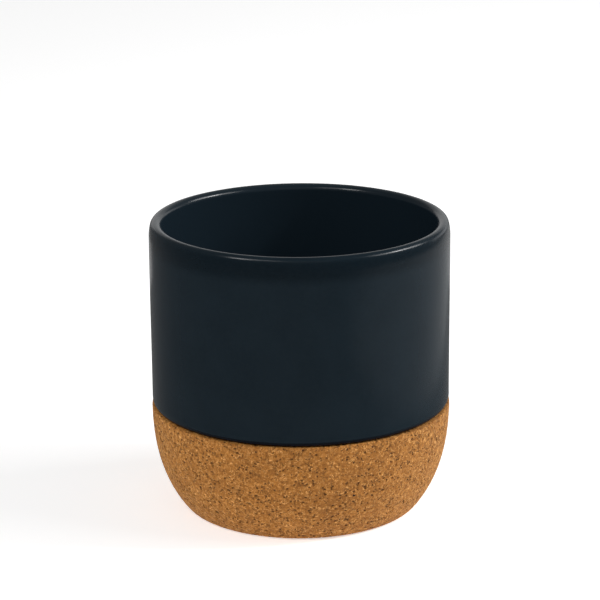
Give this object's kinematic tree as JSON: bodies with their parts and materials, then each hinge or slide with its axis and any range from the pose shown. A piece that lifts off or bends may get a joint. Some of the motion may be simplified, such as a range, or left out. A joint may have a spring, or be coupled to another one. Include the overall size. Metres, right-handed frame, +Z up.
{
  "type": "stoneware cup with cork base",
  "caption": "Straight-sided matte-glazed stoneware cup without a handle, glued into a rounded cork base with a flat foot.",
  "frame": {"origin": "centre of the cork's flat underside, on the surface that the cup stands on", "axes": "+Z up, along the axis that every piece is turned about; the directions of X and Y are free"},
  "size_m": [0.0842, 0.0842, 0.0825],
  "materials": {
    "glaze": "satin",
    "cork": "matte",
    "adhesive": "satin"
  },
  "bodies": {
    "root": {"ceramic_cup": "glaze", "cork_base": "cork", "adhesive_band": "adhesive", "adhesive_pad": "adhesive"}
  },
  "joints": []
}
